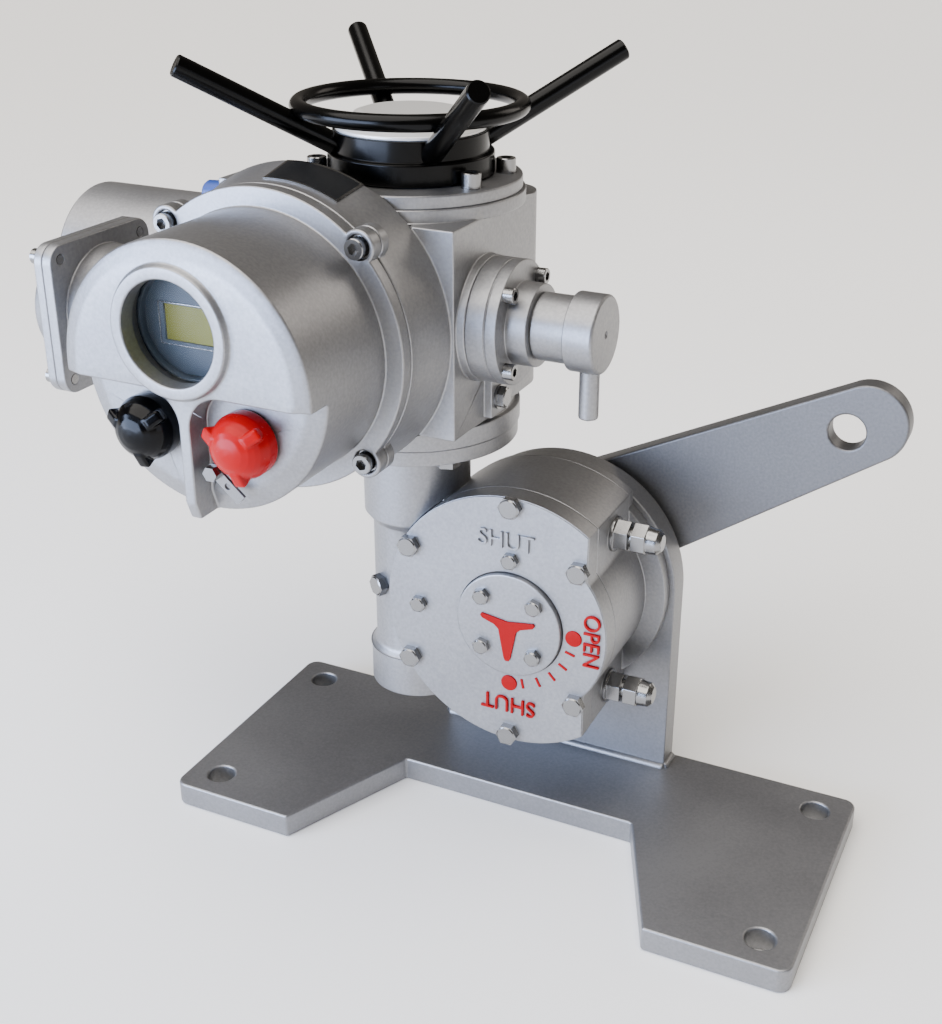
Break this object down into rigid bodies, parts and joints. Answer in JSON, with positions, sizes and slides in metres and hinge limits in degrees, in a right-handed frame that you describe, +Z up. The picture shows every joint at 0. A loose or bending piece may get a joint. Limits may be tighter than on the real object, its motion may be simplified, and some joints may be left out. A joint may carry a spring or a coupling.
{
  "type": "electric damper actuator",
  "caption": "Electric damper actuator: motor drive with top handwheel and round control cover on a quarter-turn worm gearbox, swinging a lever behind a welded floor bracket.",
  "frame": {"origin": "middle of the four floor bolt holes, on the underside of the base plate", "axes": "+X to the right along the base, towards the lever at rest; +Y to the back, from the control cover to the upright; +Z up"},
  "size_m": [0.7569, 0.3965, 0.65],
  "materials": {
    "silver_paint": "silver-grey fine-textured powder coat",
    "grey_paint": "darker grey textured powder coat on steel plate",
    "black_paint": "gloss black enamel",
    "stainless": "bright stainless steel",
    "machined_steel": "machined steel",
    "bronze": "cast tin bronze",
    "nitrile": "black nitrile rubber",
    "red_enamel": "gloss red enamel",
    "black_knob": "gloss black moulded plastic",
    "red_knob": "gloss red moulded plastic",
    "window": "clear toughened glass",
    "bezel": "dark blue-grey moulded plastic",
    "lcd": "yellow-green liquid crystal panel",
    "board": "green laminate",
    "winding": "laminated iron with windings",
    "blue_plug": "blue moulded transit plug"
  },
  "bodies": {
    "frame": {"base_plate": "grey_paint", "upright_plate": "grey_paint", "weld_beads": "grey_paint", "gearbox_housing": "silver_paint", "gearbox_cover": "silver_paint", "cover_gasket": "nitrile", "cover_bolts": "stainless", "grease_plugs": "stainless", "mounting_screws": "stainless", "shaft_bushes": "bronze", "shaft_seal": "nitrile", "stop_screws": "stainless", "stop_nuts": "stainless", "worm_bearings": "machined_steel", "worm_end_cap": "silver_paint", "flange_bolts": "stainless", "gearcase": "silver_paint", "earth_screw": "stainless", "cable_plug": "blue_plug", "top_cover": "silver_paint", "top_screws": "stainless", "column_bearings": "machined_steel", "motor_housing": "silver_paint", "motor_stator": "winding", "motor_bearings": "machined_steel", "clutch_housing": "silver_paint", "clutch_screws": "stainless", "control_cover": "silver_paint", "control_gasket": "nitrile", "cover_screws": "stainless", "window_glass": "window", "display_frame": "bezel", "display_panel": "lcd", "circuit_boards": "board", "lock_screw": "stainless", "lock_tab": "stainless", "terminal_cover": "silver_paint", "terminal_screws": "stainless", "terminal_block": "bezel"},
    "handwheel": {"handwheel_hub": "black_paint", "handwheel_rim": "black_paint", "handwheel_bars": "black_paint", "hub_cap": "stainless"},
    "drive_column": {"drive_sleeve": "machined_steel", "gearbox_worm": "machined_steel"},
    "lever": {"worm_quadrant": "bronze", "lever_shaft": "machined_steel", "shaft_keys": "machined_steel", "lever_arm": "grey_paint", "lever_retainer": "stainless", "pointer_disc": "silver_paint", "pointer_arrow": "red_enamel", "pointer_screws": "stainless"},
    "clutch_lever": {"hand_lever": "silver_paint", "shift_shaft": "machined_steel"},
    "clutch": {"clutch_ring": "machined_steel"},
    "rotor": {"motor_rotor": "machined_steel"},
    "drive_wheel": {"worm_wheel": "bronze"},
    "open_close_knob": {"control_knob": "black_knob"},
    "mode_knob": {"selector_knob": "red_knob"}
  },
  "joints": [
    {"name": "handwheel_turn", "type": "hinge", "parent": "frame", "child": "handwheel", "pos_m": [-0.11, 0.035, 0.6], "axis": [0, 0, 1], "range_deg": [0, 3600]},
    {"name": "column_turn", "type": "hinge", "parent": "frame", "child": "drive_column", "pos_m": [-0.11, 0.035, 0.4], "axis": [0, 0, 1], "range_deg": [0, 3600]},
    {"name": "lever_swing", "type": "hinge", "parent": "frame", "child": "lever", "pos_m": [0, 0.035, 0.2], "axis": [0, -1, 0], "range_deg": [0, 90]},
    {"name": "clutch_lever_turn", "type": "hinge", "parent": "frame", "child": "clutch_lever", "pos_m": [0.05, 0, 0.458], "axis": [1, 0, 0], "range_deg": [-36, 0]},
    {"name": "clutch_slide", "type": "slide", "parent": "drive_column", "child": "clutch", "axis": [0, 0, 1], "range_m": [-0.00866, 0]},
    {"name": "motor_spin", "type": "hinge", "parent": "frame", "child": "rotor", "pos_m": [-0.3, 0.095, 0.43], "axis": [1, 0, 0], "continuous": true},
    {"name": "drive_wheel_turn", "type": "hinge", "parent": "frame", "child": "drive_wheel", "pos_m": [-0.11, 0.035, 0.43], "axis": [0, 0, 1], "continuous": true},
    {"name": "open_close_turn", "type": "hinge", "parent": "frame", "child": "open_close_knob", "pos_m": [-0.1967, -0.2, 0.4123], "axis": [0, -1, 0], "range_deg": [-35, 35], "stiffness_Nm_per_rad": 0.15},
    {"name": "mode_turn", "type": "hinge", "parent": "frame", "child": "mode_knob", "pos_m": [-0.1159, -0.2, 0.4123], "axis": [0, -1, 0], "range_deg": [-60, 60]}
  ],
  "couplings": [
    {"joint": "column_turn", "follows": "handwheel_turn", "ratio": 1},
    {"joint": "lever_swing", "follows": "handwheel_turn", "ratio": 0.025},
    {"joint": "clutch_slide", "follows": "clutch_lever_turn", "m_per_rad": 0.013771},
    {"joint": "drive_wheel_turn", "follows": "motor_spin", "ratio": 0.025}
  ]
}
